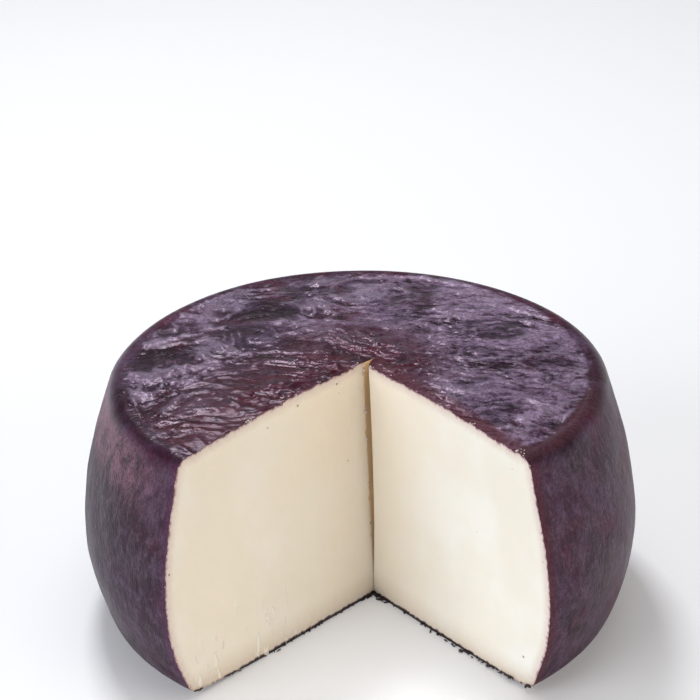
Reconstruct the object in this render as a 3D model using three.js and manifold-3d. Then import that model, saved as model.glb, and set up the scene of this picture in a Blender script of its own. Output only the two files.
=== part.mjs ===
// A wheel of pressed goat's cheese with a dark, wine-washed rind, standing on its base. One wedge has
// been cut out of it, and the first knife cut ran a little past the middle, which left a slit at the
// wedge's inner edge.
//
// Millimetres, +Z up. The origin is on the wheel's own axis, at the surface that it stands on, and the
// wedge opens towards -Y. The cheese was formed as one piece, so it is one solid: a turned body, less the
// wedge, less the slit.

import * as THREE from "three";
import { ConvexGeometry } from "three/addons/geometries/ConvexGeometry.js";
import { mergeVertices } from "three/addons/utils/BufferGeometryUtils.js";
import Module from "manifold-3d";

// The base: flat in the middle, where the wheel stands, and slightly turned up towards its edge.
const SEAT_RADIUS = 48;
const BASE_EDGE_RADIUS = 82.5;
const BASE_LIFT = 1.9;

// The side: widest at the belly, below half height, because a fresh cheese settles before it sets.
const BELLY_RADIUS = 89.6;
const BELLY_HEIGHT = 31;

// The top face: a low crown that falls away towards the rim.
const HEIGHT = 84;
const RIM_RADIUS = 79;
const CROWN_DROP = 3.4;

// How far the side leans from upright where it meets the base's edge and the rim, and how far back from
// the sharp corner each of those two edges starts to be rounded.
const BASE_LEAN = THREE.MathUtils.degToRad(24);
const RIM_LEAN = THREE.MathUtils.degToRad(17);
const BASE_EDGE_ROUND = 2;
const RIM_ROUND = 3;

// How long each side curve keeps the direction that it starts or ends with: longer is fuller.
const LOWER_FULLNESS = 9;
const BELLY_FULLNESS_DOWN = 10;
const BELLY_FULLNESS_UP = 17;
const UPPER_FULLNESS = 17;

// The wedge that was cut out. The inner edge where its two cuts meet leans, because the knife did.
const WEDGE_ANGLE = THREE.MathUtils.degToRad(82.5);
const INNER_EDGE_AT_BASE = new THREE.Vector2(4.2, -3.7);
const INNER_EDGE_AT_TOP = new THREE.Vector2(1.7, 1.3);

// The slit where the left cut runs on behind the right one. It closes towards the base.
const SLIT_DEPTH = 6;
const SLIT_WIDTH_AT_TOP = 2.5;
const SLIT_WIDTH_AT_BASE = 0.4;

// Facets.
const SEGMENTS = 84;
const CURVE_STEPS = 9;
const EDGE_STEPS = 3;

// A cutting tool runs past the faces that it cuts by this much.
const OVERCUT = 10;

// A point that is `distance` from `from`, in the direction that leans `lean` from straight up.
function leaning(from, distance, lean) {
  return new THREE.Vector2(
    from.x + distance * Math.sin(lean),
    from.y + distance * Math.cos(lean),
  );
}

// Half of the wheel's upright section, from the axis at the base round to the axis at the crown: x is the
// radius and y the height.
function halfSection() {
  const baseCorner = new THREE.Vector2(BASE_EDGE_RADIUS, BASE_LIFT);
  const rimCorner = new THREE.Vector2(RIM_RADIUS, HEIGHT - CROWN_DROP);
  const belly = new THREE.Vector2(BELLY_RADIUS, BELLY_HEIGHT);

  const seatEdge = new THREE.Vector2(SEAT_RADIUS, 0);
  const baseRunOut = seatEdge.clone().lerp(new THREE.Vector2(baseCorner.x, 0), 0.5);
  const baseEnd = baseCorner.clone().sub(new THREE.Vector2(BASE_EDGE_ROUND, 0));
  baseEnd.y = BASE_LIFT * (1 - BASE_EDGE_ROUND / (BASE_EDGE_RADIUS - SEAT_RADIUS));
  const sideStart = leaning(baseCorner, BASE_EDGE_ROUND, BASE_LEAN);
  const sideEnd = leaning(rimCorner, -RIM_ROUND, -RIM_LEAN);

  // The crown is a cubic: it has dropped CROWN_DROP at the rim, and is level at the axis.
  const crownStart = RIM_RADIUS - RIM_ROUND;
  const crownFall = CROWN_DROP * (crownStart / RIM_RADIUS) ** 3;

  const lowerHandle = leaning(sideStart, LOWER_FULLNESS, BASE_LEAN);
  const upperHandle = leaning(sideEnd, -UPPER_FULLNESS, -RIM_LEAN);
  const bellyBelow = belly.clone().sub(new THREE.Vector2(0, BELLY_FULLNESS_DOWN));
  const bellyAbove = belly.clone().add(new THREE.Vector2(0, BELLY_FULLNESS_UP));
  const crownEnd = new THREE.Vector2(0, HEIGHT);

  const stretches = [
    [new THREE.QuadraticBezierCurve(seatEdge, baseRunOut, baseEnd), CURVE_STEPS],
    [new THREE.QuadraticBezierCurve(baseEnd, baseCorner, sideStart), EDGE_STEPS],
    [new THREE.CubicBezierCurve(sideStart, lowerHandle, bellyBelow, belly), CURVE_STEPS],
    [new THREE.CubicBezierCurve(belly, bellyAbove, upperHandle, sideEnd), CURVE_STEPS],
    [
      new THREE.QuadraticBezierCurve(
        sideEnd,
        rimCorner,
        new THREE.Vector2(crownStart, HEIGHT - crownFall),
      ),
      EDGE_STEPS,
    ],
    [
      new THREE.CubicBezierCurve(
        new THREE.Vector2(crownStart, HEIGHT - crownFall),
        new THREE.Vector2((crownStart * 2) / 3, HEIGHT),
        new THREE.Vector2(crownStart / 3, HEIGHT),
        crownEnd,
      ),
      CURVE_STEPS,
    ],
  ];
  const outline = [new THREE.Vector2(0, 0), seatEdge];
  for (const [curve, steps] of stretches) outline.push(...curve.getPoints(steps).slice(1));
  outline[outline.length - 1].x = 0;
  return outline;
}

// The whole wheel, before any knife.
function wheelBody() {
  return new THREE.LatheGeometry(halfSection(), SEGMENTS).rotateX(Math.PI / 2);
}

// The inner edge's place in plan at height z: a straight line through its two ends, which are at the base
// and at the crown's height.
function innerEdgeAt(z) {
  return INNER_EDGE_AT_BASE.clone().lerp(INNER_EDGE_AT_TOP, z / HEIGHT);
}

// Plan directions, from the inner edge outwards: `turn` is measured from -Y, positive towards +X.
function planDirection(turn) {
  return new THREE.Vector2(Math.sin(turn), -Math.cos(turn));
}

// A solid with straight sides between two outlines in plan, one below the base and one above the crown.
function standingSolid(outlineAt) {
  const corners = [-OVERCUT, HEIGHT + OVERCUT].flatMap((z) =>
    outlineAt(z).map((p) => new THREE.Vector3(p.x, p.y, z)),
  );
  return new ConvexGeometry(corners);
}

// The wedge that the two cuts take out, long enough to pass the belly.
function wedgeTool() {
  const reach = 2 * BELLY_RADIUS;
  return standingSolid((z) => {
    const edge = innerEdgeAt(z);
    const arms = [-WEDGE_ANGLE / 2, WEDGE_ANGLE / 2].map(planDirection);
    return [edge, ...arms.map((arm) => edge.clone().addScaledVector(arm, reach))];
  });
}

// The slit: the left cut's plane carried on past the inner edge, opened towards the wedge side.
function slitTool() {
  const along = planDirection(-WEDGE_ANGLE / 2);
  const across = new THREE.Vector2(-along.y, along.x);
  return standingSolid((z) => {
    const share = THREE.MathUtils.clamp(z / HEIGHT, 0, 1);
    const width = THREE.MathUtils.lerp(SLIT_WIDTH_AT_BASE, SLIT_WIDTH_AT_TOP, share);
    const edge = innerEdgeAt(z);
    const mouth = edge.clone().addScaledVector(along, SLIT_WIDTH_AT_TOP);
    const end = edge.clone().addScaledVector(along, -SLIT_DEPTH);
    const farWall = [end, mouth].map((p) => p.clone().addScaledVector(across, width));
    return [mouth, end, ...farWall];
  });
}

// manifold-3d works on solids whose shared vertices are merged.
function solidOf(wasm, geometry) {
  const bare = geometry.index ? geometry.toNonIndexed() : geometry.clone();
  bare.deleteAttribute("normal");
  bare.deleteAttribute("uv");
  const merged = mergeVertices(bare, 1e-3);
  return new wasm.Manifold(
    new wasm.Mesh({
      numProp: 3,
      vertProperties: merged.attributes.position.array,
      triVerts: new Uint32Array(merged.index.array),
    }),
  );
}

function geometryOf(solid) {
  const mesh = solid.getMesh();
  const geometry = new THREE.BufferGeometry();
  geometry.setAttribute("position", new THREE.BufferAttribute(mesh.vertProperties, 3));
  geometry.setIndex(new THREE.BufferAttribute(mesh.triVerts, 1));
  geometry.computeVertexNormals();
  return geometry;
}

const wasm = await Module();
wasm.setup();

const cheese = solidOf(wasm, wheelBody())
  .subtract(solidOf(wasm, wedgeTool()))
  .subtract(solidOf(wasm, slitTool()));

const rind = new THREE.MeshStandardMaterial({ color: 0x4a3342, roughness: 0.5, metalness: 0 });

const wheel = new THREE.Mesh(geometryOf(cheese), rind);
wheel.name = "cheese_wheel";

const group = new THREE.Group();
group.name = "cheese";
group.add(wheel);

export default group;
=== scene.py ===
"""A small wheel of pressed goat's cheese with a dark, wine-washed rind and one wedge cut out of it.

Shapes are worked out in millimetres, about the wheel's own upright axis, and are turned into metres as
they are put into a mesh. The wedge opens towards -Y.
"""
import math

import bpy
import numpy as np
from mathutils import Matrix, Vector


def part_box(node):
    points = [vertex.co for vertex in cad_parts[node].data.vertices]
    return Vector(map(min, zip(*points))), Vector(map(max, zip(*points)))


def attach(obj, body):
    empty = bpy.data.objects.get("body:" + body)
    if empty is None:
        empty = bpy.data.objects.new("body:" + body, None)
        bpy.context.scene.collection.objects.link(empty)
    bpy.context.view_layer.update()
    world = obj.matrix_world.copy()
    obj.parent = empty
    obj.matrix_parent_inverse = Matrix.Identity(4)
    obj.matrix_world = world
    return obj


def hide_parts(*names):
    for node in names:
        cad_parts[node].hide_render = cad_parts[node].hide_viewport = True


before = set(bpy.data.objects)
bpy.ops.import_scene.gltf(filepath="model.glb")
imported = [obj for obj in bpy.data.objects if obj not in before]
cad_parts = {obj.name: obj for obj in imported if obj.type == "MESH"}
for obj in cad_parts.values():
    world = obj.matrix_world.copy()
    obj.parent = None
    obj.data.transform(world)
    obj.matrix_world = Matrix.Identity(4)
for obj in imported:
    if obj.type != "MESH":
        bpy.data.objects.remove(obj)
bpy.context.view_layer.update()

MM = 0.001

# Where each random draw starts.
SEED = 11
CRUMB_SEED = SEED + 101
SHRED_SEED = SEED + 202

# -------- The wheel's sizes, in millimetres --------

_low, _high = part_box("cheese_wheel")
HEIGHT = _high[2] / MM
BELLY_RADIUS = _high[0] / MM
BELLY_HEIGHT = 31.0
RIM_RADIUS = 79.0
RIM_ROUND = 4.5
RIM_LEAN = math.radians(17)
CROWN_DROP = 3.4
BASE_EDGE_RADIUS = 82.5
BASE_EDGE_ROUND = 2.5
BASE_LEAN = math.radians(24)
BASE_LIFT = 1.9
SEAT_RADIUS = 48.0

# The wedge: the angle between its two cuts, and the two ends of the leaning edge where they meet.
WEDGE_ANGLE = math.radians(82.5)
INNER_EDGE_AT_BASE = np.array([4.2, -3.7])
INNER_EDGE_AT_TOP = np.array([1.7, 1.3])

# The slit where the left cut ran on past the inner edge.
SLIT_DEPTH = 6.0
SLIT_WIDTH = 2.7
SLIT_WIDTH_BELOW = 0.12
SLIT_ENDS_AT = 0.93

# How many steps each grid of the skin has.
STEPS_AROUND_RIGHT = 132
STEPS_AROUND_LEFT = 244
STEPS_SLIT = 9
STEPS_TOP = 116
STEPS_SIDE = 66
STEPS_BASE = 16
STEPS_INTO_PASTE = 28
OUTLINE_SAMPLES = 400

# The rows of a rind grid at the crown's edge, at the base's edge and at the inner edge below.
RIM_ROW = STEPS_TOP
FOOT_ROW = RIM_ROW + STEPS_SIDE
LAST_ROW = FOOT_ROW + STEPS_BASE


# -------- Arithmetic on whole arrays --------

def smooth(low, high, x):
    """0 below low, 1 above high, and 3t^2 - 2t^3 between, t being the share of the way."""
    t = np.clip((x - low) / (high - low), 0.0, 1.0)
    return t * t * (3.0 - 2.0 * t)


def mix(a, b, share):
    return a + (b - a) * share


NOISE_GAIN = 1.6


def noise(points, seed):
    """Smooth noise, about -1 to 1: a random slope at each whole-number point, carried to the place asked
    for and blended with its neighbours by 6t^5 - 15t^4 + 10t^3. The last axis of points is 2 or 3 long."""
    points = np.asarray(points, dtype=float)
    size = points.shape[-1]
    table = np.random.default_rng(SEED + seed)
    order = table.permutation(256)
    slopes = table.normal(size=(256, size))
    slopes /= np.linalg.norm(slopes, axis=1)[:, None]
    cell = np.floor(points).astype(int)
    inside = points - cell
    fade = inside ** 3 * (inside * (inside * 6 - 15) + 10)
    total = np.zeros(points.shape[:-1])
    for corner in np.ndindex(*(2,) * size):
        step = np.array(corner)
        key = np.zeros(points.shape[:-1], dtype=int)
        for axis in range(size):
            key = order[(key + cell[..., axis] + step[axis]) % 256]
        push = ((inside - step) * slopes[key]).sum(-1)
        share = np.where(step == 1, fade, 1 - fade).prod(-1)
        total += push * share
    return total * NOISE_GAIN


def bezier(points, t):
    """The point at share t of a Bezier curve: each pair of neighbours is mixed by t until one is left."""
    points = [np.asarray(p, dtype=float)[None, :] for p in points]
    t = np.asarray(t)[:, None]
    while len(points) > 1:
        points = [mix(a, b, t) for a, b in zip(points, points[1:])]
    return points[0]


def even_steps(line, steps):
    """Points at equal distances along a finely drawn line, and how far along each one is."""
    run = np.r_[0.0, np.cumsum(np.linalg.norm(np.diff(line, axis=0), axis=1))]
    at = np.linspace(0.0, run[-1], steps + 1)
    return np.stack([np.interp(at, run, line[:, k]) for k in range(line.shape[1])], axis=1), at


# -------- The wheel's outline --------

CROWN_EDGE = RIM_RADIUS - RIM_ROUND
BASE_EDGE = BASE_EDGE_RADIUS - BASE_EDGE_ROUND

# How far the side's curves pull straight on: above the belly and below the rim, below the belly, and
# above the foot.
UPPER_PULL = 17
LOWER_PULL = 10
FOOT_PULL = 9


def crown_height(radius):
    """The top face: level at the axis, dropping with the cube of the radius."""
    return HEIGHT - CROWN_DROP * (radius / RIM_RADIUS) ** 3


def base_height(radius):
    """The underside: flat out to the seat's edge, then rising with the square of the distance."""
    return BASE_LIFT * (np.clip(radius - SEAT_RADIUS, 0, None) / (BASE_EDGE_RADIUS - SEAT_RADIUS)) ** 2


def leaning(start, distance, lean):
    return (start[0] + distance * math.sin(lean), start[1] + distance * math.cos(lean))


def side_outline():
    """Radius and height from the crown's edge, over the rim, down the side and round the base's edge:
    a curve for each rounded edge and two for the side, which meet upright at the belly."""
    rim = (RIM_RADIUS, HEIGHT - CROWN_DROP)
    foot = (BASE_EDGE_RADIUS, BASE_LIFT)
    belly = (BELLY_RADIUS, BELLY_HEIGHT)
    above_belly = (BELLY_RADIUS, BELLY_HEIGHT + UPPER_PULL)
    below_belly = (BELLY_RADIUS, BELLY_HEIGHT - LOWER_PULL)
    side_top = leaning(rim, -RIM_ROUND, -RIM_LEAN)
    side_end = leaning(foot, BASE_EDGE_ROUND, BASE_LEAN)
    t = np.linspace(0, 1, OUTLINE_SAMPLES)
    parts = [
        bezier([(CROWN_EDGE, crown_height(CROWN_EDGE)), rim, side_top], t),
        bezier([side_top, leaning(side_top, -UPPER_PULL, -RIM_LEAN), above_belly, belly], t),
        bezier([belly, below_belly, leaning(side_end, FOOT_PULL, BASE_LEAN), side_end], t),
        bezier([side_end, foot, (BASE_EDGE, base_height(BASE_EDGE))], t),
    ]
    return even_steps(np.concatenate(parts), STEPS_SIDE)


def inner_edge(z):
    """Plan position of the leaning edge where the two cuts meet, at height z."""
    share = np.asarray(z)[..., None] / HEIGHT
    return mix(INNER_EDGE_AT_BASE, INNER_EDGE_AT_TOP, share)


def toward(turn):
    """Unit plan direction, turned from -Y towards +X."""
    return np.stack([np.sin(turn), -np.cos(turn)], axis=-1)


def reach(origin, direction, radius):
    """How far from origin, along direction, the circle of that radius about the axis is."""
    along = (origin * direction).sum(-1)
    return -along + np.sqrt(along ** 2 - (origin ** 2).sum(-1) + radius ** 2)


# -------- Relief of the rind, in millimetres --------

# Each size of crease: its length and width, its height, and its draw.
CREASES = [
    (26.0, 11.0, 0.50, 3),
    (11.0, 5.0, 0.40, 4),
    (6.0, 3.0, 0.38, 5),
    (3.6, 1.9, 0.26, 6),
]
# How the creases are bent along X and along Y: the noise's length, how far it bends them, and its draw.
BENT_ALONG_X = [(24, 7, 1), (5, 1.3, 11)]
BENT_ALONG_Y = [(19, 6, 2), (4.5, 0.9, 12)]
# The length of the patches of strong creases, and how much stronger all grow between two values of x.
PATCH_LENGTH = 21
STRONGER_BY = 0.35
STRONGER_FROM = (-25, -60)
# How narrow a crease's crest is, and how far all creases are let down, to stay under the crown.
CREST_SHARPNESS = 1.7
CREASE_ROOM = 1.05

# Noises that are added up: the length or lengths, the height, and the draw.
SIDE_NOISES = [(26, 0.45, 7), (11, 0.16, 17), ((3.6, 3.6, 9.0), 0.09, 8)]

# The bead at the rim: how far inside it, how wide and how high, and the noise that breaks it up.
LIP_INSIDE = 2.2
LIP_WIDTH = 1.1
LIP_HEIGHT = 0.45
LIP_GAPS = (9, 13)

# The wheel's own unevenness: its length and height, and how far it is let down.
UNEVEN_LENGTH = 75
UNEVEN_HEIGHT = 0.5
UNEVEN_ROOM = 0.4


def top_relief(x, y):
    """Creases pressed into the top by a crumpled cloth. Each size is a ridge, (1 - |noise|) squared, drawn
    out along X on a place bent by slower noise, and a finer size is high only on the crests of the one
    before. The whole is stronger in some places than in others, and strongest towards -X. Gives the
    height, and how much of a crest each place is, from 0 to 1."""
    place = np.stack([x, y], axis=-1)
    bent_x, bent_y = x, y
    for length, far, seed in BENT_ALONG_X:
        bent_x = bent_x + noise(place / length, seed) * far
    for length, far, seed in BENT_ALONG_Y:
        bent_y = bent_y + noise(place / length, seed) * far
    strength = mix(0.5, 1.0, smooth(-0.35, 0.3, noise(place / PATCH_LENGTH, 50)))
    strength = strength + STRONGER_BY * smooth(*STRONGER_FROM, x)
    height, ridge, weight = 0.0, 0.0, 1.0
    for long, wide, high, seed in CREASES:
        grain = noise(np.stack([bent_x / long, bent_y / wide], axis=-1), seed)
        crest = np.clip(1 - np.abs(grain) * CREST_SHARPNESS, 0, 1) ** 2
        height = height + high * weight * crest
        ridge = ridge + (high + 0.2) * weight * crest
        weight = np.clip(crest * 1.5, 0.3, 1)
    return height * strength - CREASE_ROOM, np.clip(ridge * strength * 0.85, 0, 1)


def layered(p, layers):
    """Noises of several sizes, added up."""
    return sum(noise(p / np.asarray(length), seed) * high for length, high, seed in layers)


def side_relief(p):
    """The side's dents, and faint upright ripples, which are noise drawn out along Z."""
    return layered(p, SIDE_NOISES)


def rim_lip(p, run):
    """A low bead just inside the rim, where the cloth was folded over: a bell curve, broken up by noise."""
    length, seed = LIP_GAPS
    bead = np.exp(-((run + LIP_INSIDE) / LIP_WIDTH) ** 2) * LIP_HEIGHT
    return bead * smooth(-0.5, 0.4, noise(p / length, seed))


def out_of_round(p):
    """Slow noise of less than a millimetre."""
    return noise(p / UNEVEN_LENGTH, 10) * UNEVEN_HEIGHT - UNEVEN_ROOM


# -------- Grids of points over the wheel --------

SLIT_TURN = math.pi - WEDGE_ANGLE / 2
RIGHT_TURNS = np.linspace(WEDGE_ANGLE / 2, SLIT_TURN, STEPS_AROUND_RIGHT + 1)
LEFT_TURNS = np.linspace(SLIT_TURN, 2 * math.pi - WEDGE_ANGLE / 2, STEPS_AROUND_LEFT + 1)
SIDE_OUTLINE, SIDE_RUN = side_outline()


def distances_out(full, steps):
    """Distances from the inner edge to a rim that is full away: even as far as the slit goes, then even
    the rest of the way."""
    step = np.arange(steps + 1)
    inner = SLIT_DEPTH * step / STEPS_SLIT
    outer = (step - STEPS_SLIT) / (steps - STEPS_SLIT)
    return np.where(step <= STEPS_SLIT, inner, SLIT_DEPTH + (full[:, None] - SLIT_DEPTH) * outer)


def disc_rows(turns, edge_radius, height_at, steps):
    """A face of the wheel as rays from the inner edge out to the circle of edge_radius. The height
    follows from the distance to the axis, and the inner edge's place from the height."""
    way = toward(turns)
    edge_height = height_at(np.array(edge_radius))
    full = reach(inner_edge(np.full(len(turns), edge_height)), way, edge_radius)
    out = distances_out(full, steps)
    z = np.full(out.shape, float(edge_height))
    for _ in range(3):
        plan = inner_edge(z) + out[..., None] * way[:, None, :]
        z = height_at(np.linalg.norm(plan, axis=-1))
    return np.concatenate([plan, z[..., None]], axis=-1), out


def side_rows(turns):
    """The side: along each direction from the inner edge, the point at the outline's radius."""
    way = toward(turns)[:, None, :]
    radius, z = SIDE_OUTLINE[None, :, 0], np.repeat(SIDE_OUTLINE[None, :, 1], len(turns), axis=0)
    start = inner_edge(z)
    out = reach(start, way, radius)
    return np.concatenate([start + out[..., None] * way, z[..., None]], axis=-1), out


# Where each relief fades in or out, as runs along the outline from the crown's edge.
TOP_FADES = (-2.5, 2.0)
SIDE_STARTS = (3.0, 12.0)
SIDE_FADES = SIDE_RUN[-1] - np.array([12, 2])
UNEVEN_FADES = SIDE_RUN[-1] - np.array([14, 4])

# The raggedness of the cut edges: how far from the inner edge it sets in, how quickly it dies away behind
# the cut, and for each cut its two noises.
RAGGED_STARTS = (3.0, 9.0)
RAGGED_REACH = 1.2
RAGGED_NOISES = {
    "left": [(1.4, 0.09, 21), (8.0, 0.22, 26)],
    "right": [(1.4, 0.09, 22), (8.0, 0.22, 27)],
}


def rind_grid(turns, opens_slit):
    """The rind over one sector, as columns of points from the top's inner end, out over the rim, down
    the side and in under the base, each moved along its own normal by the relief."""
    top, top_out = disc_rows(turns, CROWN_EDGE, crown_height, STEPS_TOP)
    side, side_out = side_rows(turns)
    base, base_out = disc_rows(turns, BASE_EDGE, base_height, STEPS_BASE)
    points = np.concatenate([top[:, :-1], side, base[:, -2::-1]], axis=1)
    out = np.concatenate([top_out[:, :-1], side_out, base_out[:, -2::-1]], axis=1)
    plan = points[..., :2]
    radius = np.linalg.norm(plan, axis=-1)
    run_down = np.repeat(SIDE_RUN[None, :], len(turns), axis=0)
    run_under = SIDE_RUN[-1] + BASE_EDGE - radius[:, FOOT_ROW + 1:]
    run = np.concatenate([radius[:, :RIM_ROW] - CROWN_EDGE, run_down, run_under], axis=1)

    # Normals in the upright section: radius and height.
    slope = np.gradient(SIDE_OUTLINE, axis=0)
    side_normal = np.stack([-slope[:, 1], slope[:, 0]], axis=1)
    side_normal /= np.linalg.norm(side_normal, axis=1)[:, None]
    section = np.zeros(points.shape[:2] + (2,))
    section[:, :RIM_ROW] = (0, 1)
    section[:, RIM_ROW:FOOT_ROW + 1] = side_normal
    section[:, FOOT_ROW + 1:] = (0, -1)
    outward = plan / np.maximum(radius, 1e-6)[..., None]
    normal = np.concatenate([outward * section[..., :1], section[..., 1:]], axis=-1)

    on_top = 1 - smooth(*TOP_FADES, run)
    on_side = smooth(*SIDE_STARTS, run) * (1 - smooth(*SIDE_FADES, run))
    off_base = 1 - smooth(*UNEVEN_FADES, run)
    folds, crest = top_relief(points[..., 0], points[..., 1])
    relief = folds * on_top + side_relief(points) * on_side + out_of_round(points) * off_base
    relief = relief + rim_lip(points, run)

    # The cut edges are ragged: next to a cut, points wander across it.
    from_cuts = cut_distances(points)
    wander = np.zeros(points.shape)
    starts, whole = RAGGED_STARTS
    for name, noises in RAGGED_NOISES.items():
        near = np.exp(-from_cuts[name] / RAGGED_REACH) * np.clip((out - starts) / (whole - starts), 0, 1)
        wander += (layered(points, noises) * near)[..., None] * CUT_NORMALS[name]
    moved = points + normal * relief[..., None] + wander

    if opens_slit:
        moved = moved + slit_push(turns, out, points[..., 2])
    moved[..., 2] = np.clip(moved[..., 2], 0.0, HEIGHT)
    moved[:, 0] = moved[0, 0]
    moved[:, -1] = moved[0, -1]
    cuts = {"left_cut": from_cuts["left"], "right_cut": from_cuts["right"]}
    return {"points": moved, "run": run, "plan": plan, "crest": crest, **cuts}


# Plan directions along the cuts, away from the inner edge, and across the slit.
RIGHT_WAY = toward(WEDGE_ANGLE / 2)
LEFT_WAY = toward(-WEDGE_ANGLE / 2)
CUT_WAYS = {"left": LEFT_WAY, "right": RIGHT_WAY}
SLIT_ACROSS = np.array([-LEFT_WAY[1], LEFT_WAY[0]])


def level(way):
    """A plan direction as a level one in space."""
    return np.append(way, 0.0)


def cut_normal(way, outward_sign):
    """Unit normal of a cut, pointing into the wedge: at right angles to the cut's own direction and to
    the leaning inner edge."""
    lean = np.append(INNER_EDGE_AT_TOP - INNER_EDGE_AT_BASE, HEIGHT)
    normal = np.cross(level(way), lean) * outward_sign
    return normal / np.linalg.norm(normal)


CUT_NORMALS = {"left": cut_normal(LEFT_WAY, -1), "right": cut_normal(RIGHT_WAY, 1)}


def cut_distances(points):
    """How far each point is behind each cut's plane, and beyond the inner edge how far from the edge."""
    from_edge = points - level(INNER_EDGE_AT_BASE)
    found = {}
    for name, way in CUT_WAYS.items():
        behind = np.abs(from_edge @ CUT_NORMALS[name])
        past = np.clip(-(from_edge[..., :2] @ way), 0, None)
        found[name] = np.sqrt(behind ** 2 + past ** 2)
    return found


# From this share of the slit's depth on, its right side is pushed square to it.
SQUARE_BY = 0.4


def slit_width(z):
    """Wide at the top, narrowing ever faster on the way down until only a hair crack is left."""
    down = np.clip((1 - z / HEIGHT) / SLIT_ENDS_AT, 0, 1)
    return SLIT_WIDTH_BELOW + SLIT_WIDTH * (1 - down ** 3)


def slit_push(turns, out, z):
    """How far the slit's right side is pushed open: all of its width at the mouth, then falling with the
    square of the distance left. At the mouth the push is along the right cut, further in square to it."""
    inward = smooth(0, SLIT_DEPTH * SQUARE_BY, out)
    turned = ((turns - turns[0]) / (turns[-1] - turns[0]))[:, None]
    way = mix(RIGHT_WAY, SLIT_ACROSS, (inward * turned)[..., None])
    amount = slit_width(z) * np.clip(1 - out / SLIT_DEPTH, 0, None) ** 2
    return np.concatenate([way * amount[..., None], np.zeros(out.shape + (1,))], axis=-1)


# How far down the inner edge the partners of the top's points end, and those of the side's.
TOP_ENDS_AT = 0.26
SIDE_ENDS_AT = 0.76


def down_shares():
    """For each row of the rind's border, how far down the inner edge its partner is, from 0 to 1."""
    top = np.linspace(0, TOP_ENDS_AT, STEPS_TOP + 1)
    side = np.linspace(TOP_ENDS_AT, SIDE_ENDS_AT, STEPS_SIDE + 1)
    base = np.linspace(SIDE_ENDS_AT, 1.0, STEPS_BASE + 1)
    return np.concatenate([top[:-1], side, base[1:]])


# On a cut face: steps grow by e to this power, the last one starts at this share of the way, and the
# border's raggedness dies away over this many millimetres.
STEPS_GROW = 4.2
LAST_STEP_FROM = 0.996
RAGGED_FADES = 0.9


def cut_grid(name, border, edge):
    """A cut face: from below each point of the rind's border straight to its partner on the inner edge,
    in steps that grow with the distance, so that the border's fine colours have points to sit on, and
    a last short one, which keeps the face's shading flat as far as the edge. How far the ragged border
    stands off the cut's plane dies away within a millimetre or two, and there is none of it where the
    border meets the inner edge."""
    share = np.expm1(STEPS_GROW * np.linspace(0, 1, STEPS_INTO_PASTE)) / math.expm1(STEPS_GROW)
    share = np.append(share * LAST_STEP_FROM, 1.0)
    normal = CUT_NORMALS[name]
    off = (border - level(INNER_EDGE_AT_BASE)) @ normal
    off = off * np.clip(np.linalg.norm(border - edge, axis=1), 0, 1)
    flush = (border - off[:, None] * normal)[:, None, :]
    face = mix(flush, edge[:, None, :], share[None, :, None])
    gone = np.linalg.norm(face - flush, axis=-1)
    face = face + (off[:, None] * np.exp(-gone / RAGGED_FADES))[..., None] * normal
    face[:, 0] = border
    face[:, -1] = edge
    return face


def depth_below(points, border):
    """Distance from each point to the nearest stretch of the border line, a batch of points at a time."""
    start, run = border[:-1], np.diff(border, axis=0)
    length = np.maximum((run ** 2).sum(-1), 1e-12)
    flat = points.reshape(-1, 3)
    nearest = np.full(len(flat), np.inf)
    batch = 2000
    for low in range(0, len(flat), batch):
        offset = flat[low:low + batch, None, :] - start[None]
        share = np.clip((offset * run).sum(-1) / length, 0, 1)
        gap = np.linalg.norm(offset - run * share[..., None], axis=-1)
        nearest[low:low + batch] = gap.min(axis=1)
    return nearest.reshape(points.shape[:-1])


# -------- Grids into a mesh --------

# Faces that meet at more than this are shaded with an edge between them.
EDGE_ANGLE = math.radians(52)


def put_in_scene(name, data):
    made = bpy.data.objects.new(name, data)
    bpy.context.scene.collection.objects.link(made)
    return made


def make_piece(name, mesh, materials):
    """A smooth shaded object made of a mesh."""
    for material in materials:
        mesh.materials.append(material)
    mesh.polygons.foreach_set("use_smooth", np.ones(len(mesh.polygons), dtype=bool))
    return put_in_scene(name, mesh)


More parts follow.
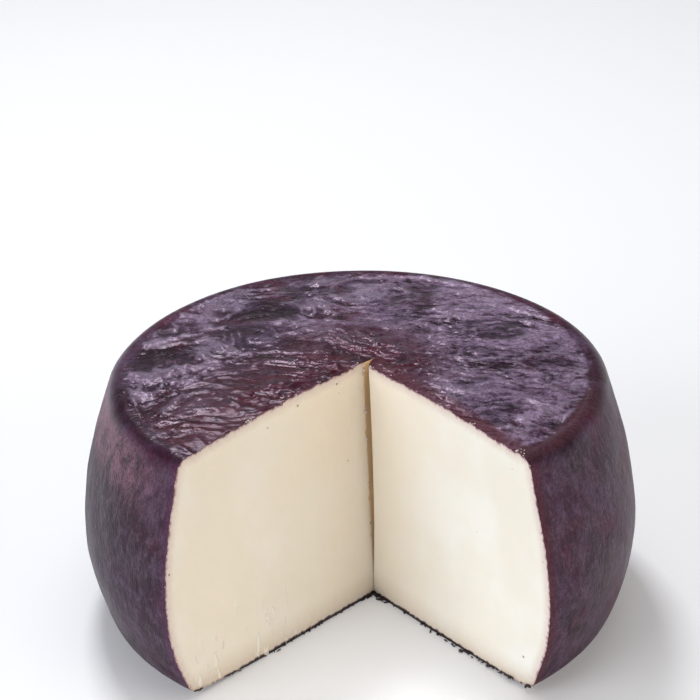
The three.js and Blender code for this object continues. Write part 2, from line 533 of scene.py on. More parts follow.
class Skin:
    """Grids of points that meet along shared edges and are joined there into one closed mesh. Each grid
    has a finish, a place on the flat map, cloth lengths in millimetres, and marks held at its points."""

    MARKS = ("run", "crest", "left_cut", "right_cut", "depth", "slit")

    def __init__(self):
        self.points, self.marks, self.maps, self.cloth = [], [], [], []
        self.faces, self.finish, self.count = [], [], 0

    def add(self, points, flat, finish, cloth=None, flip=False, **marks):
        rows, columns = points.shape[:2]
        index = self.count + np.arange(rows * columns).reshape(rows, columns)
        corners = [index[:-1, :-1], index[1:, :-1], index[1:, 1:], index[:-1, 1:]]
        faces = np.stack(corners[::-1] if flip else corners, axis=-1).reshape(-1, 4)
        self.faces.append(faces)
        self.finish.append(np.full(len(faces), finish))
        self.points.append(points.reshape(-1, 3))
        self.maps.append(flat.reshape(-1, 2))
        self.cloth.append((flat if cloth is None else cloth).reshape(-1, 2))
        held = [np.broadcast_to(marks.get(name, 0.0), (rows, columns)).ravel() for name in self.MARKS]
        self.marks.append(np.stack(held, axis=1))
        self.count += rows * columns

    def build(self, name, materials):
        """Points within a thousandth of a millimetre are one point. A face with two corners in one place
        becomes a triangle."""
        points = np.concatenate(self.points)
        faces = np.concatenate(self.faces)
        finish = np.concatenate(self.finish)
        rounded = np.round(points, 3)
        _, first, same = np.unique(rounded, axis=0, return_index=True, return_inverse=True)
        same = same.reshape(-1)
        welded = same[faces]
        repeats = welded == np.roll(welded, -1, axis=1)
        kinds = [(~repeats.any(axis=1), faces)]
        for k in range(4):
            pinched = repeats[:, k] & (repeats.sum(axis=1) == 1)
            kinds.append((pinched, np.delete(faces, k, axis=1)))
        corners = np.concatenate([kept[chosen].ravel() for chosen, kept in kinds])
        sizes = np.concatenate([np.full(chosen.sum(), kept.shape[1]) for chosen, kept in kinds])
        order = np.concatenate([np.nonzero(chosen)[0] for chosen, kept in kinds])

        mesh = bpy.data.meshes.new(name)
        mesh.vertices.add(len(first))
        mesh.vertices.foreach_set("co", (points[first] * MM).ravel())
        mesh.loops.add(len(corners))
        mesh.loops.foreach_set("vertex_index", same[corners])
        mesh.polygons.add(len(sizes))
        mesh.polygons.foreach_set("loop_start", np.r_[0, np.cumsum(sizes)[:-1]])
        mesh.polygons.foreach_set("material_index", finish[order])
        for label, flats in (("OFBake", self.maps), ("Cloth", self.cloth)):
            layer = mesh.uv_layers.new(name=label)
            layer.uv.foreach_set("vector", np.concatenate(flats)[corners].astype(np.float32).ravel())
        held = np.concatenate(self.marks)[first]
        for k, label in enumerate(self.MARKS):
            attribute = mesh.attributes.new(label, "FLOAT", "POINT")
            attribute.data.foreach_set("value", held[:, k].astype(np.float32))
        mesh.update(calc_edges=True)
        mesh.validate()
        made = make_piece(name, mesh, materials)
        mesh.set_sharp_from_angle(angle=EDGE_ANGLE)
        return made


# The flat map: a square this many millimetres wide, on which each grid is laid out at its real size,
# the underside at a smaller one. Each grid's lower left corner is given.
MAP_WIDTH = 352.0
MAP_GAP = 2.0
UNDERSIDE_SCALE = 0.62
MAP_CORNERS = {
    "side": [(0.0, 0.0), (0.0, 97.0), (0.0, 194.0)],
    "top": (152.0, 0.0),
    "left_face": (152.0, 154.0),
    "right_face": (248.0, 154.0),
    "underside": (152.0, 244.0),
    "left_wall": (262.0, 244.0),
    "right_wall": (274.0, 244.0),
}


def on_map(flat, corner, scale=1.0):
    """Places in millimetres, moved to a corner of the flat map and given as shares of the map."""
    return (flat * scale + np.asarray(corner) + MAP_GAP) / MAP_WIDTH


def from_corner(across, up):
    """Two measures of a grid as places, counted from the least of each."""
    return np.stack([across - across.min(), up - up.min()], axis=-1)


UNROLL_RADIUS = BELLY_RADIUS - 4
SECTOR_MARKS = ("run", "crest", "left_cut", "right_cut")


def add_sector(skin, grid, turns, side_corners):
    """One sector's rind: its share of the top, its share of the underside, and its side, unrolled at a
    radius between the belly's and the rim's into as many strips as there are corners for."""
    around = np.repeat((turns * UNROLL_RADIUS)[:, None], LAST_ROW + 1, axis=1)
    unrolled = np.stack([around, grid["run"]], axis=-1)
    top = slice(0, RIM_ROW + 1)
    side = slice(RIM_ROW, FOOT_ROW + 1)
    base = slice(FOOT_ROW, LAST_ROW + 1)
    whole = slice(None)
    plan = grid["plan"]
    on_top = on_map(plan[:, top] + CROWN_EDGE, MAP_CORNERS["top"])
    below = on_map(plan[:, base] + BASE_EDGE, MAP_CORNERS["underside"], UNDERSIDE_SCALE)
    parts = [(whole, top, on_top, plan), (whole, base, below, plan)]
    ends = np.linspace(0, len(turns) - 1, len(side_corners) + 1).astype(int)
    for first, last, corner in zip(ends, ends[1:], side_corners):
        strip = slice(first, last + 1)
        flat = on_map(from_corner(*np.moveaxis(unrolled[strip, side], -1, 0)), corner)
        parts.append((strip, side, flat, unrolled))
    for columns, rows, flat, cloth in parts:
        marks = {name: grid[name][columns, rows] for name in SECTOR_MARKS}
        skin.add(grid["points"][columns, rows], flat, 0, cloth=cloth[columns, rows], flip=True, **marks)


# The slit's walls: how long the tears are down the edge, how many there are on the way in and how rough,
# how long and deep the left wall's nicks are, and how far it steps back.
TORN_LENGTH = 2.6
TORN_BUMPS = 3.0
TORN_HEIGHT = 0.3
NICK_LENGTH = 3.4
NICK_DEPTH = 0.9
STEP_BACK = 0.6


def slit_walls(left, right):
    """The slit's two walls, from its mouth on the inner edge in to its end. They run straight from the
    top's points to the base's; to that the right wall adds what the slit is wider in between, and the
    left one steps back behind the mouth and is nicked along it. Both are torn, which is noise."""
    share = down_shares()[:, None]
    z = HEIGHT * (1 - share)
    fade = np.sin(math.pi * share)
    inward = np.linspace(0, 1, STEPS_SLIT + 1)[None, :]
    across = level(SLIT_ACROSS)
    torn_at = np.stack(np.broadcast_arrays(z / TORN_LENGTH, inward * TORN_BUMPS), axis=-1)
    torn = noise(torn_at, 31) * TORN_HEIGHT * fade
    bulge = 4 * inward * (1 - inward)
    walls = []
    for grid, column in ((left, 0), (right, -1)):
        from_top = grid["points"][column, :STEPS_SLIT + 1]
        from_base = grid["points"][column, LAST_ROW - STEPS_SLIT:][::-1]
        wall = mix(from_top[None], from_base[None], share[..., None])
        walls.append(wall + (torn * bulge)[..., None] * across)
    nick = fade * smooth(0.05, 0.6, noise(np.stack([z / NICK_LENGTH, z * 0], axis=-1), 34)) * NICK_DEPTH
    step_back = STEP_BACK * np.sqrt(bulge) * smooth(0, 0.15, fade) * slit_width(z) / SLIT_WIDTH
    walls[0] = walls[0] + (nick * np.clip(1 - inward * 4, 0, 1))[..., None] * level(LEFT_WAY)
    walls[0] = walls[0] - step_back[..., None] * across
    straight = mix(slit_width(HEIGHT), slit_width(0.0), share)
    wider = (slit_width(z) - straight) * (1 - inward) ** 2
    way = mix(level(RIGHT_WAY), across, smooth(0, SQUARE_BY, inward)[..., None])
    walls[1] = walls[1] + wider[..., None] * way
    walls[1][:, -1] = walls[0][:, -1]
    return walls


def make_wheel(left, right, rind, paste):
    """The whole cheese as one closed skin: two sectors of rind that part at the slit, two cut faces and
    the slit's two walls."""
    skin = Skin()

    # The two sectors part only along the slit: past its end they share one column.
    shared = slice(STEPS_SLIT, LAST_ROW - STEPS_SLIT + 1)
    right["points"][-1, shared] = left["points"][0, shared]
    add_sector(skin, right, RIGHT_TURNS, MAP_CORNERS["side"][:1])
    add_sector(skin, left, LEFT_TURNS, MAP_CORNERS["side"][1:])

    walls = slit_walls(left, right)
    inward = np.broadcast_to(np.linspace(0, 1, STEPS_SLIT + 1)[None, :], walls[0].shape[:2])
    seen = np.repeat(down_shares()[:, None] * HEIGHT, STEPS_SLIT + 1, axis=1)
    for name, wall in zip(("left", "right"), walls):
        flat = on_map(from_corner(inward * SLIT_DEPTH, seen), MAP_CORNERS[name + "_wall"])
        depth = np.minimum(seen, HEIGHT - seen)
        skin.add(wall, flat, 1, flip=name == "right", depth=depth, slit=inward)

    for name, grid, column, wall in (("left", left, -1, walls[0]), ("right", right, 0, walls[1])):
        border = grid["points"][column]
        face = cut_grid(name, border, wall[:, 0])
        out = (face[..., :2] - INNER_EDGE_AT_TOP) @ CUT_WAYS[name]
        flat = on_map(from_corner(out, face[..., 2]), MAP_CORNERS[name + "_face"])
        skin.add(face, flat, 1, flip=name == "right", depth=depth_below(face, border))
    return skin.build("cheese", [rind, paste])


# -------- Crumbs and shreds --------

# A lump: how many belts and sectors it has, how much its radius varies, and how closely.
LUMP_BELTS = 5
LUMP_SECTORS = 8
LUMP_ROUGHNESS = 0.5
LUMP_GRAIN = 1.3


def lumps(name, centres, sizes, turns, material, seed):
    """Small closed lumps: each is a ball of latitude rings whose radius is varied by noise, then
    stretched by its three sizes and turned about Z. All are joined in one mesh."""
    rings, sectors = LUMP_BELTS, LUMP_SECTORS
    up = np.linspace(-math.pi / 2, math.pi / 2, rings + 1)[1:-1]
    around = np.linspace(0, 2 * math.pi, sectors, endpoint=False)
    up, around = np.meshgrid(up, around, indexing="ij")
    ball = np.stack([np.cos(up) * np.cos(around), np.cos(up) * np.sin(around), np.sin(up)], axis=-1)
    ball = np.concatenate([ball.reshape(-1, 3), [[0, 0, -1], [0, 0, 1]]])
    south, north = len(ball) - 2, len(ball) - 1
    ring = np.arange((rings - 1) * sectors).reshape(rings - 1, sectors)
    after = np.roll(ring, -1, axis=1)
    belts = np.stack([ring[:-1], after[:-1], after[1:], ring[1:]], axis=-1).reshape(-1, 4).tolist()
    caps = [[south, after[0, k], ring[0, k]] for k in range(sectors)]
    caps += [[north, ring[-1, k], after[-1, k]] for k in range(sectors)]

    count = len(centres)
    far_apart = np.arange(count)[:, None, None] * 7.3
    rough = 1 + LUMP_ROUGHNESS * noise(ball[None] * LUMP_GRAIN + far_apart, seed)
    shaped = ball[None] * rough[..., None] * sizes[:, None, :]
    cos, sin = np.cos(turns)[:, None], np.sin(turns)[:, None]
    x, y, z = np.moveaxis(shaped, -1, 0)
    placed = np.stack([x * cos - y * sin, x * sin + y * cos, z], axis=-1) + centres[:, None, :]
    placed[..., 2] = np.clip(placed[..., 2], 0.0, HEIGHT)
    faces = [[int(v) + k * len(ball) for v in face] for k in range(count) for face in belts + caps]
    mesh = bpy.data.meshes.new(name)
    mesh.from_pydata((placed.reshape(-1, 3) * MM).tolist(), [], faces)
    mesh.validate()
    return make_piece(name, mesh, [material])


# Crumbs on the top stand this high on it, in millimetres, and those on the side are pulled in towards the
# axis to this share of their radius. The larger ones on the slit are this far down the inner edge.
CRUMBS_RAISED = 0.1
CRUMBS_PULLED_IN = 0.990
SLIT_CRUMBS_DOWN = np.array([0.025, 0.045, 0.06, 0.20, 0.215, 0.33, 0.52])


def make_crumbs(borders, material):
    """Paste crumbs left by the knife, in loose clusters: along the top edges of the cuts, at the right
    cut's corner, down the outer edges of both, and a few larger ones stuck along the slit."""
    draw = np.random.default_rng(CRUMB_SEED)
    clusters = [
        # the cut, the first row of its border and the one after the last, how many, how far back at
        # most, and their size
        ("left", 44, 58, 14, 3.0, 0.17),
        ("left", 66, 80, 12, 3.4, 0.18),
        ("left", 3, 10, 5, 1.0, 0.20),
        ("right", 2, 9, 5, 0.8, 0.20),
        ("right", 78, 84, 4, 1.0, 0.18),
        ("right", RIM_ROW - 4, RIM_ROW + 5, 16, 2.6, 0.16),
        ("right", RIM_ROW + 12, RIM_ROW + 50, 24, 1.0, 0.14),
        ("left", RIM_ROW + 14, RIM_ROW + 60, 16, 0.7, 0.14),
    ]
    centres, sizes = [], []
    for name, first, last, count, spread, size in clusters:
        row = draw.integers(first, last, count)
        centre = borders[name][row] - CUT_NORMALS[name] * (draw.random((count, 1)) ** 1.8 * spread)
        centre = centre + level(CUT_WAYS[name]) * draw.normal(0, 0.5, (count, 1))
        on_top = (row < RIM_ROW)[:, None]
        centre[:, :2] *= np.where(on_top, 1.0, CRUMBS_PULLED_IN)
        centre[:, 2:] += np.where(on_top, CRUMBS_RAISED, 0.0)
        centres.append(centre)
        sizes.append(size * draw.uniform(0.4, 1.4, (count, 1)) * draw.uniform(0.4, 2.0, (count, 3)))
    z = HEIGHT * (1 - SLIT_CRUMBS_DOWN)
    lip = np.concatenate([inner_edge(z), z[:, None]], axis=1)
    centres.append(lip + draw.normal(0, 0.15, lip.shape) + level(LEFT_WAY) * 0.15)
    sizes.append(draw.uniform(0.3, 0.75, lip.shape))
    centres, sizes = np.concatenate(centres), np.concatenate(sizes)
    return lumps("paste_crumbs", centres, sizes, draw.uniform(0, 6.3, len(centres)), material, 41)


def make_shreds(borders, material):
    """Shreds of the dark base rind that the knife dragged out along the two bottom edges, thickest
    towards the outer end of the right one."""
    draw = np.random.default_rng(SHRED_SEED)
    edges = [
        # the cut, how many, their size, how far they stray, and how they crowd towards its outer end
        ("right", 120, 0.50, 0.6, 1.5),
        ("left", 80, 0.38, 0.3, 1.0),
    ]
    centres, sizes, turns = [], [], []
    for name, count, size, stray, crowd in edges:
        border = borders[name][FOOT_ROW - 1:LAST_ROW]
        at = draw.random(count) ** crowd * (len(border) - 1)
        low = at.astype(int)
        centre = mix(border[low], border[np.minimum(low + 1, len(border) - 1)], (at - low)[:, None])
        centre = centre + CUT_NORMALS[name] * (draw.normal(0.15, 1.0, count) * stray)[:, None]
        length = draw.uniform(0.7, 2.6, count)
        shape = np.stack([length, draw.uniform(0.3, 0.7, count), draw.uniform(0.3, 0.8, count)], axis=1)
        centre[:, 2] = np.maximum(centre[:, 2], 0) + shape[:, 2] * size * 0.9
        centres.append(centre)
        sizes.append(shape * size)
        turns.append(math.atan2(CUT_WAYS[name][1], CUT_WAYS[name][0]) + draw.normal(0, 0.55, count))
    centres, sizes, turns = (np.concatenate(kind) for kind in (centres, sizes, turns))
    return lumps("rind_shreds", centres, sizes, turns, material, 43)


# -------- Finishes --------

def linear(code):
    """An sRGB hex colour as linear red, green, blue and an alpha of 1."""
    shares = [int(code[k:k + 2], 16) / 255 for k in (1, 3, 5)]
    return tuple(c / 12.92 if c <= 0.04045 else ((c + 0.055) / 1.055) ** 2.4 for c in shares) + (1.0,)


THREAD_PITCH = 1.1
FLOOR_GLOW = 0.19


def add(tree, kind, inputs=None, out=0, **settings):
    """Adds a node with its settings and hands back one of its outputs. inputs names sockets by name or
    number, and gives each a value, or another node's output to link. On a colour mix node, inputs 0, 6
    and 7 are its share, the colour below and the colour above, and output 2 is the mixed colour."""
    made = tree.nodes.new("ShaderNode" + kind)
    for name, value in settings.items():
        setattr(made, name, value)
    for name, value in (inputs or {}).items():
        if isinstance(value, bpy.types.NodeSocket):
            tree.links.new(value, made.inputs[name])
        else:
            made.inputs[name].default_value = value
    return made.outputs[out] if len(made.outputs) else made


def new_material(name):
    """An empty material, its node tree, and places on the object in millimetres."""
    material = bpy.data.materials.new(name)
    material.use_nodes = True
    tree = material.node_tree
    tree.nodes.clear()
    place = add(tree, "TexCoord", out="Object")
    return material, tree, add(tree, "Mapping", {"Vector": place, "Scale": (1000, 1000, 1000)})


def zones(tree, rows):
    """Masks from 0 to 1. A row gives a name, the measure, and where it becomes 0 and 1."""
    masks = {}
    for name, measure, low, high in rows:
        inputs = {"Value": measure, "From Min": low, "From Max": high}
        masks[name] = add(tree, "MapRange", inputs, interpolation_type="SMOOTHSTEP")
    return masks


def patches(tree, place, rows):
    """Masks of noise, from 0 to 1. A row gives a name, the patches' length in millimetres along X, Y and
    Z, how many finer sizes are added and how strongly, a shift that makes the draw its own, and the two
    values of the noise that become 0 and 1."""
    found = []
    for name, lengths, finer, strength, shift, low, high in rows:
        scale = [1 / length for length in lengths]
        at = add(tree, "Mapping", {"Vector": place, "Location": (shift, 0, 0), "Scale": scale})
        value = add(tree, "TexNoise", {"Vector": at, "Scale": 1.0, "Detail": finer, "Roughness": strength})
        found.append((name, value, low, high))
    return zones(tree, found)


def product(tree, share, names, masks):
    """A number times the masks named."""
    for name in names.split():
        share = add(tree, "Math", {0: share, 1: masks[name]}, operation="MULTIPLY")
    return share


def paint(tree, colour, masks, layers):
    """Lays colours over one another. A row gives a colour, its greatest share and the masks on it."""
    for code, share, names in layers:
        share = product(tree, share, names, masks)
        colour = add(tree, "Mix", {0: share, 6: colour, 7: linear(code)}, out=2, data_type="RGBA")
    return colour


def heap(tree, masks, layers):
    """Adds up heights and hands back the bumped normal. A row gives a height in millimetres and the
    masks on it."""
    total = 0.0
    for height, names in layers:
        total = add(tree, "Math", {0: total, 1: product(tree, height, names, masks)}, operation="ADD")
    return add(tree, "Bump", {"Height": total, "Distance": MM, "Strength": 1.0})


def washed_rind():
    """Rind of a pressed goat's cheese, dried and dyed by washing in red wine: a plum skin with a waxy
    satin gloss. It is printed by the cloth that the cheese was pressed in, mottled where the wine took
    unevenly, redder beside the cuts, and darker and browner on the rim at the front. Painted light is
    laid over that: a silvery painted highlight on the crests of its folds with painted shade in the
    troughs, a painted shadow of the cut-out wedge beside the left cut, and painted shade on the side
    towards -X."""
    material, tree, millimetres = new_material("washed_rind")
    run, crest, left_cut, right_cut = (
        add(tree, "Attribute", out="Fac", attribute_name=name) for name in SECTOR_MARKS
    )
    across = add(tree, "SeparateXYZ", {0: millimetres})
    along, up = across.node.outputs["Y"], across.node.outputs["Z"]

    # Patches are drawn on places that a slower noise has pushed about, so that they look torn.
    pushes = add(tree, "TexNoise", {"Vector": millimetres, "Scale": 1 / 9, "Detail": 3.0}, out="Color")
    bend = {0: pushes, 1: (5, 5, 5), 2: millimetres}
    bent = add(tree, "VectorMath", bend, operation="MULTIPLY_ADD")
    masks = patches(tree, bent, [
        ("cloudy", (24, 24, 24), 4, 0.60, 0.0, 0.40, 0.62),
        ("violet", (13, 11, 13), 5, 0.65, 4.1, 0.42, 0.62),
        ("wine", (19, 19, 19), 4, 0.60, 8.7, 0.50, 0.68),
        ("smeared", (7, 5, 6), 5, 0.70, 2.3, 0.34, 0.60),
        ("bloomed", (13, 9, 13), 6, 0.70, 6.6, 0.42, 0.60),
        ("streaked", (2.6, 2.6, 9), 4, 0.65, 1.2, 0.42, 0.70),
        ("scuffed", (4.5, 2.0, 4), 5, 0.72, 9.4, 0.48, 0.64),
        ("pitted", (3.4, 1.9, 2.8), 4, 0.65, 5.5, 0.52, 0.36),
        ("gritty", (0.9, 0.7, 0.9), 1, 0.60, 3.3, 0.36, 0.66),
        ("rough", (2.6, 1.4, 2.4), 1, 0.60, 7.7, 0.20, 0.80),
        ("worn", (9, 9, 9), 4, 0.60, 2.9, 0.36, 0.56),
    ])
    raggedly = add(tree, "SeparateXYZ", {0: pushes}).node.outputs["Y"]
    edge_run = add(tree, "Math", {0: raggedly, 1: 7.0, 2: run}, operation="MULTIPLY_ADD")
    masks.update(zones(tree, [
        ("on_top", run, -0.6, -2.4),
        ("on_crown", run, 8.0, 1.0),
        ("on_rim", edge_run, 0.9, 2.9),
        ("above_side", edge_run, 10.0, 6.0),
        ("on_side", run, 4.0, 10.0),
        # The folds' crests and troughs, for a painted highlight on the crests and painted shade between
        # them.
        ("crest", crest, 0.32, 0.85),
        ("trough", crest, 0.24, 0.02),
        ("beside_right", right_cut, 7.5, 2.5),
        ("at_right", right_cut, 4.5, 0.8),
        # A wide band beside the left cut, for the painted shadow of the cut-out wedge and for the smeared
        # dye.
        ("beside_left", left_cut, 38.0, 10.0),
        ("at_left", left_cut, 3.5, 0.5),
        ("towards_right", across, -40.0, 30.0),
        ("towards_left", across, -50.0, -72.0),
        ("in_front", along, 8.0, -26.0),
        ("high", up, 58.0, 68.0),
        ("low", up, 30.0, 8.0),
    ]))

    # The cloth's print: threads crossing on the top and running upright on the side. The real threads
    # are about 0.5 mm apart and are drawn at twice that, so that they show.
    cloth = add(tree, "UVMap", uv_map="Cloth")
    sway = {0: pushes, 1: (2.5, 2.5, 0), 2: cloth}
    swayed = add(tree, "VectorMath", sway, operation="MULTIPLY_ADD")
    turns = 2 * math.pi / THREAD_PITCH
    phases = add(tree, "VectorMath", {0: swayed, 1: (turns, turns, 0)}, operation="MULTIPLY")
    phase = add(tree, "SeparateXYZ", {0: phases}).node
    masks["warp"] = add(tree, "Math", {0: phase.outputs["X"]}, operation="SINE")
    masks["weft"] = add(tree, "Math", {0: phase.outputs["Y"]}, operation="SINE")

    colour = paint(tree, linear("#28101e"), masks, [
        # the wine's uneven take-up
        ("#4c2c45", 0.80, "cloudy"),
        ("#5d4a68", 0.60, "violet"),
        ("#531a30", 0.75, "wine"),
        # silvery bloom on the top; the crests are painted lighter, a painted highlight, and the troughs
        # between painted darker, a painted shade
        ("#927c9c", 0.80, "bloomed on_top towards_right"),
        ("#120810", 0.85, "pitted on_top"),
        ("#a48fb0", 0.50, "scuffed on_top towards_right"),
        ("#ab98b6", 0.45, "crest on_top"),
        ("#100710", 0.75, "trough on_top"),
        # redder beside the cuts, where the knife smeared the dye; the near-black first layer is a painted
        # shadow, of the cut-out wedge that lay on the top beside the left cut
        ("#1e0a12", 0.85, "beside_left on_top"),
        ("#5f1628", 0.55, "beside_left smeared on_top"),
        ("#633640", 0.80, "beside_right on_top"),
        ("#431d27", 0.75, "beside_right pitted on_top"),
        # the rim, darker at the front in patches, and browner towards +X
        ("#33222b", 0.80, "on_rim above_side in_front worn"),
        ("#54353f", 0.80, "on_rim above_side towards_right in_front"),
        # the side: darker towards -X, which is painted shade that holds back the window's light there; then
        # silvery streaks, a thinly dyed patch high up towards -X, redder edges
        ("#1c0818", 0.75, "towards_left on_side"),
        ("#665565", 0.40, "streaked on_side"),
        ("#1b0f18", 0.60, "pitted on_side"),
        ("#7d6a7e", 0.25, "scuffed on_side"),
        ("#94687a", 0.65, "high towards_left on_side smeared"),
        ("#5f3d5f", 0.35, "low violet on_side"),
        ("#5a2733", 0.75, "at_right on_side"),
        ("#552a4a", 0.60, "at_left on_side"),
        # grit everywhere
        ("#0f080d", 0.45, "gritty"),
    ])
    normal = heap(tree, masks, [
        (0.009, "warp weft on_top"),
        (0.012, "warp on_side"),
        (0.07, "rough on_crown"),
        (0.10, "rough on_side"),
        (-0.015, "pitted"),
        (0.018, "gritty"),
    ])
    # Satin on the top, duller on the side.
    satin = add(tree, "MapRange", {"Value": masks["cloudy"], "To Min": 0.26, "To Max": 0.34})
    dulled = {0: masks["on_side"], 1: 0.16, 2: satin}
    surface = add(tree, "BsdfPrincipled", {
        "Base Color": colour,
        "Roughness": add(tree, "Math", dulled, operation="MULTIPLY_ADD"),
        "IOR": 1.45,
        "Specular IOR Level": 0.4,
        "Specular Tint": linear("#d2aed2"),
        "Normal": normal,
    })
    add(tree, "OutputMaterial", {"Surface": surface})
    return material


def cut_paste(loose=False):
    """Pressed goat's cheese paste, cut with a knife: close, moist and ivory white, with a few pinholes,
    painted darker as shade. It is painted lighter and warmer towards the middle, as painted light against
    the shade where the cuts meet, warmer on the left cut face and in the slit, as painted warm bounced
    light, and darker low on the cut faces, as painted shade. Towards the rind the wine has soaked in as a
    lilac blush, and the rind itself shows as a thin dark line, which at the base also carries a painted
    contact shadow. Loose paste is the crumbs: the same paste, a little darker and plain."""
    material, tree, millimetres = new_material("loose_paste" if loose else "cut_paste")
    masks = patches(tree, millimetres, [
        ("creamy", (30, 30, 30), 3, 0.55, 0.0, 0.35, 0.65),
        ("fine", (1.6, 1.6, 1.6), 3, 0.55, 6.0, 0.20, 0.80),
    ])
    colours = ("#e9dcd4", "#d3bfb9") if loose else ("#f6f5ef", "#f2eee3")
    colour = paint(tree, linear(colours[0]), masks, [(colours[1], 1.0, "creamy")])
    heights = [(0.03, "fine")]
    if not loose:
        depth = add(tree, "Attribute", out="Fac", attribute_name="depth")
        slit = add(tree, "Attribute", out="Fac", attribute_name="slit")
        across = add(tree, "SeparateXYZ", {0: millimetres})
        up = across.node.outputs["Z"]
        flat = add(tree, "VectorMath", {0: millimetres, 1: (1, 1, 0)}, operation="MULTIPLY")
        from_axis = add(tree, "VectorMath", {0: flat}, out="Value", operation="LENGTH")
        spots = add(tree, "TexVoronoi", {"Vector": millimetres, "Scale": 1 / 6.5})
        ragged = add(tree, "Math", {0: masks["fine"], 1: 0.9, 2: depth}, operation="MULTIPLY_ADD")
        ragged_up = add(tree, "Math", {0: masks["fine"], 1: 0.8, 2: up}, operation="MULTIPLY_ADD")
        # Nicked is for strokes where the knife dragged and lifted the paste, low on the left cut.
        masks.update(patches(tree, millimetres, [
            ("uneven", (12, 12, 30), 2, 0.50, 3.0, 0.20, 0.80),
            ("holed", (16, 16, 16), 3, 0.55, 9.0, 0.55, 0.60),
            ("nicked", (2.0, 2.0, 7), 2, 0.50, 12.0, 0.60, 0.66),
        ]))
        masks.update(zones(tree, [
            ("painted_light_inmost", from_axis, 48.0, 4.0),
            ("towards_left", across, 4.0, -8.0),
            ("far_left", across, -12.0, -26.0),
            ("low", up, 28.0, 14.0),
            ("blushed", ragged, 4.6, 0.9),
            ("soaked", ragged, 1.5, 0.8),
            ("rind", ragged, 0.85, 0.6),
            ("shade_near_base", ragged_up, 11.0, 1.0),
            ("at_base", ragged_up, 1.9, 1.2),
            ("in_slit", slit, 0.0, 0.05),
            ("pinhole", spots, 0.075, 0.045),
        ]))
        colour = paint(tree, colour, masks, [
            # painted light: lighter and warmer towards the middle, against the shade in the corner where the
            # cuts meet
            ("#fff2de", 0.75, "painted_light_inmost"),
            # painted warm light on the left cut face, as if bounced onto it
            ("#fbe6cb", 0.25, "towards_left"),
            ("#e0d2cb", 0.85, "blushed"),
            ("#bb98a2", 0.80, "soaked"),
            ("#5a3342", 0.90, "rind"),
            # painted shade low on the cut faces
            ("#d9cbb8", 0.60, "shade_near_base"),
            # the underside's rind as a dark line along the foot of each cut, made thicker and darker as a
            # painted contact shadow
            ("#2a191f", 1.00, "at_base"),
            # painted warm light in the slit, as if bounced about inside it
            ("#f3dcb8", 1.00, "in_slit"),
            # darker pinholes: painted shade in them
            ("#8a7157", 0.80, "pinhole holed"),
            ("#fffaf0", 0.70, "nicked low far_left"),
        ])
        heights += [(0.35, "uneven"), (-0.4, "pinhole holed"), (-0.25, "nicked low far_left")]
    surface = add(tree, "BsdfPrincipled", {
        "Base Color": colour,
        "Roughness": 0.48,
        "IOR": 1.44,
        "Subsurface Weight": 0.15,
        "Subsurface Radius": (1.0, 0.7, 0.4),
        "Subsurface Scale": 0.003,
        "Normal": heap(tree, masks, heights),
    })
    add(tree, "OutputMaterial", {"Surface": surface})
    return material


def torn_rind():
    """Shreds of the dry underside's rind: nearly black, rough and dull."""
    material, tree, millimetres = new_material("torn_rind")
    masks = patches(tree, millimetres, [("mottled", (1.4, 1.4, 1.4), 2, 0.50, 0.0, 0.35, 0.65)])
    colour = paint(tree, linear("#171114"), masks, [("#4a3a3e", 1.0, "mottled")])
    surface = add(tree, "BsdfPrincipled", {"Base Color": colour, "Roughness": 0.7})
    add(tree, "OutputMaterial", {"Surface": surface})
    return material


def studio_floor():
    """A sheet of white laminate on a light table: matt, even all over, glowing a little from below, so
    that shadows on it stay pale."""
    material, tree, _ = new_material("studio_floor")
    white = linear("#e4e6eb")
    glow = {"Emission Color": white, "Emission Strength": FLOOR_GLOW}
    inputs = {"Base Color": white, "Roughness": 0.6, **glow}
    add(tree, "OutputMaterial", {"Surface": add(tree, "BsdfPrincipled", inputs)})
    return material


# -------- The studio --------

# The camera stands a little to the right of the wedge's middle, about 84 cm from the wheel's own middle and
# 29 degrees above it. It aims just above the middle of the top and is rolled by a degree.
CAMERA_PLACE = Vector((0.0343, -0.7299, 0.4529))
CAMERA_AIM = Vector((-0.0024, 0.0018, 0.0870))
CAMERA_ROLL = math.radians(-1.18)
CAMERA_LENS = 132.8

# The floor, in metres: half its width, and how far it is below the wheel's seat.
FLOOR_HALF = 3.0
FLOOR_DROP = 0.0001

# How bright the walls and the ceiling are, and the sine of the angle up at which the ceiling begins.
WALL_LIGHT = 0.64
CEILING_LIGHT = 0.06
CEILING_FROM = 0.42

# A large soft window stands to the left. A small light high up behind glints on the top's creases. A
# warm reflector fills in from the right.
WHITE = (1.0, 1.0, 1.0)
LIGHTS = [
    # name, place, aim, width, watts and colour
    ("window", (-0.88, -0.62, 0.45), (0, 0, 0.04), 0.8, 7.5, WHITE),
    ("skylight", (-0.20, 0.57, 0.94), (0, 0, 0.06), 0.24, 6.5, WHITE),
    ("ceiling", (0.0, 0.15, 1.3), (0, 0, 0.04), 1.0, 5.0, WHITE),
    ("reflector", (0.9, -0.5, 0.4), (0, 0, 0.04), 0.8, 4.4, (1.0, 0.85, 0.64)),
]


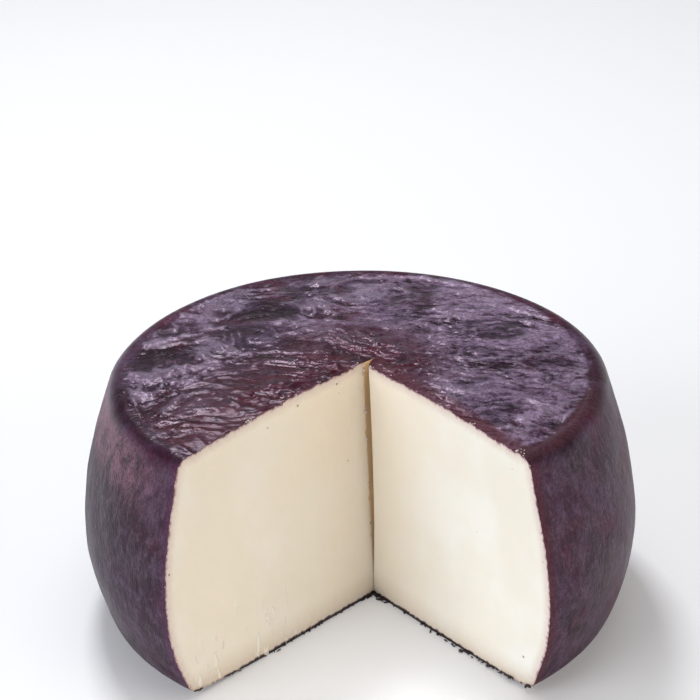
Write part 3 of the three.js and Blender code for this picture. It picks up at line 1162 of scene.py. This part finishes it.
def make_camera():
    """Looks from its place to its aim, with its upright turned by the roll."""
    ahead = (CAMERA_AIM - CAMERA_PLACE).normalized()
    level = ahead.cross(Vector((0, 0, 1))).normalized()
    upright = level.cross(ahead)
    cos, sin = math.cos(CAMERA_ROLL), math.sin(CAMERA_ROLL)
    right, up = level * cos + upright * sin, upright * cos - level * sin
    lens = bpy.data.cameras.new("camera")
    lens.lens = CAMERA_LENS
    lens.sensor_width = 36
    lens.clip_start = 0.01
    camera = put_in_scene("camera", lens)
    turned = Matrix((right, up, -ahead)).transposed().to_4x4()
    camera.matrix_world = Matrix.Translation(CAMERA_PLACE) @ turned
    bpy.context.scene.camera = camera


def make_light(name, place, aim, size, watts, colour):
    """A square soft light at place, facing aim."""
    lamp = bpy.data.lights.new(name, "AREA")
    lamp.size = size
    lamp.energy = watts
    lamp.color = colour
    made = put_in_scene(name, lamp)
    made.location = place
    made.rotation_euler = (Vector(aim) - Vector(place)).to_track_quat("-Z", "Y").to_euler()
    made.visible_camera = False


def make_studio():
    """A white floor in a white room, and the lights."""
    mesh = bpy.data.meshes.new("floor")
    points = [(x * FLOOR_HALF, y * FLOOR_HALF, -FLOOR_DROP) for x, y in ((-1, -1), (1, -1), (1, 1), (-1, 1))]
    mesh.from_pydata(points, [], [(0, 1, 2, 3)])
    mesh.materials.append(studio_floor())
    put_in_scene("floor", mesh)

    # White walls all round under a darker ceiling.
    world = bpy.data.worlds.new("studio")
    world.use_nodes = True
    tree = world.node_tree
    tree.nodes.clear()
    direction = add(tree, "TexCoord", out="Generated")
    up = add(tree, "SeparateXYZ", {0: direction}).node.outputs["Z"]
    fall = {"Value": up, "From Max": CEILING_FROM, "To Min": WALL_LIGHT, "To Max": CEILING_LIGHT}
    strength = add(tree, "MapRange", fall, interpolation_type="SMOOTHSTEP")
    glow = add(tree, "Background", {"Color": WHITE + (1.0,), "Strength": strength})
    add(tree, "OutputWorld", {"Surface": glow})
    bpy.context.scene.world = world

    for light in LIGHTS:
        make_light(*light)
    bpy.context.scene.view_settings.view_transform = "Standard"


# -------- Making --------

make_camera()
make_studio()

left_grid = rind_grid(LEFT_TURNS, False)
right_grid = rind_grid(RIGHT_TURNS, True)
wheel = make_wheel(left_grid, right_grid, washed_rind(), cut_paste())
cut_borders = {"left": left_grid["points"][-1], "right": right_grid["points"][0]}
crumbs = make_crumbs(cut_borders, cut_paste(loose=True))
shreds = make_shreds(cut_borders, torn_rind())

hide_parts("cheese_wheel")
for piece, slot in ((wheel, "rind"), (crumbs, "paste"), (shreds, "rind")):
    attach(piece, "root")
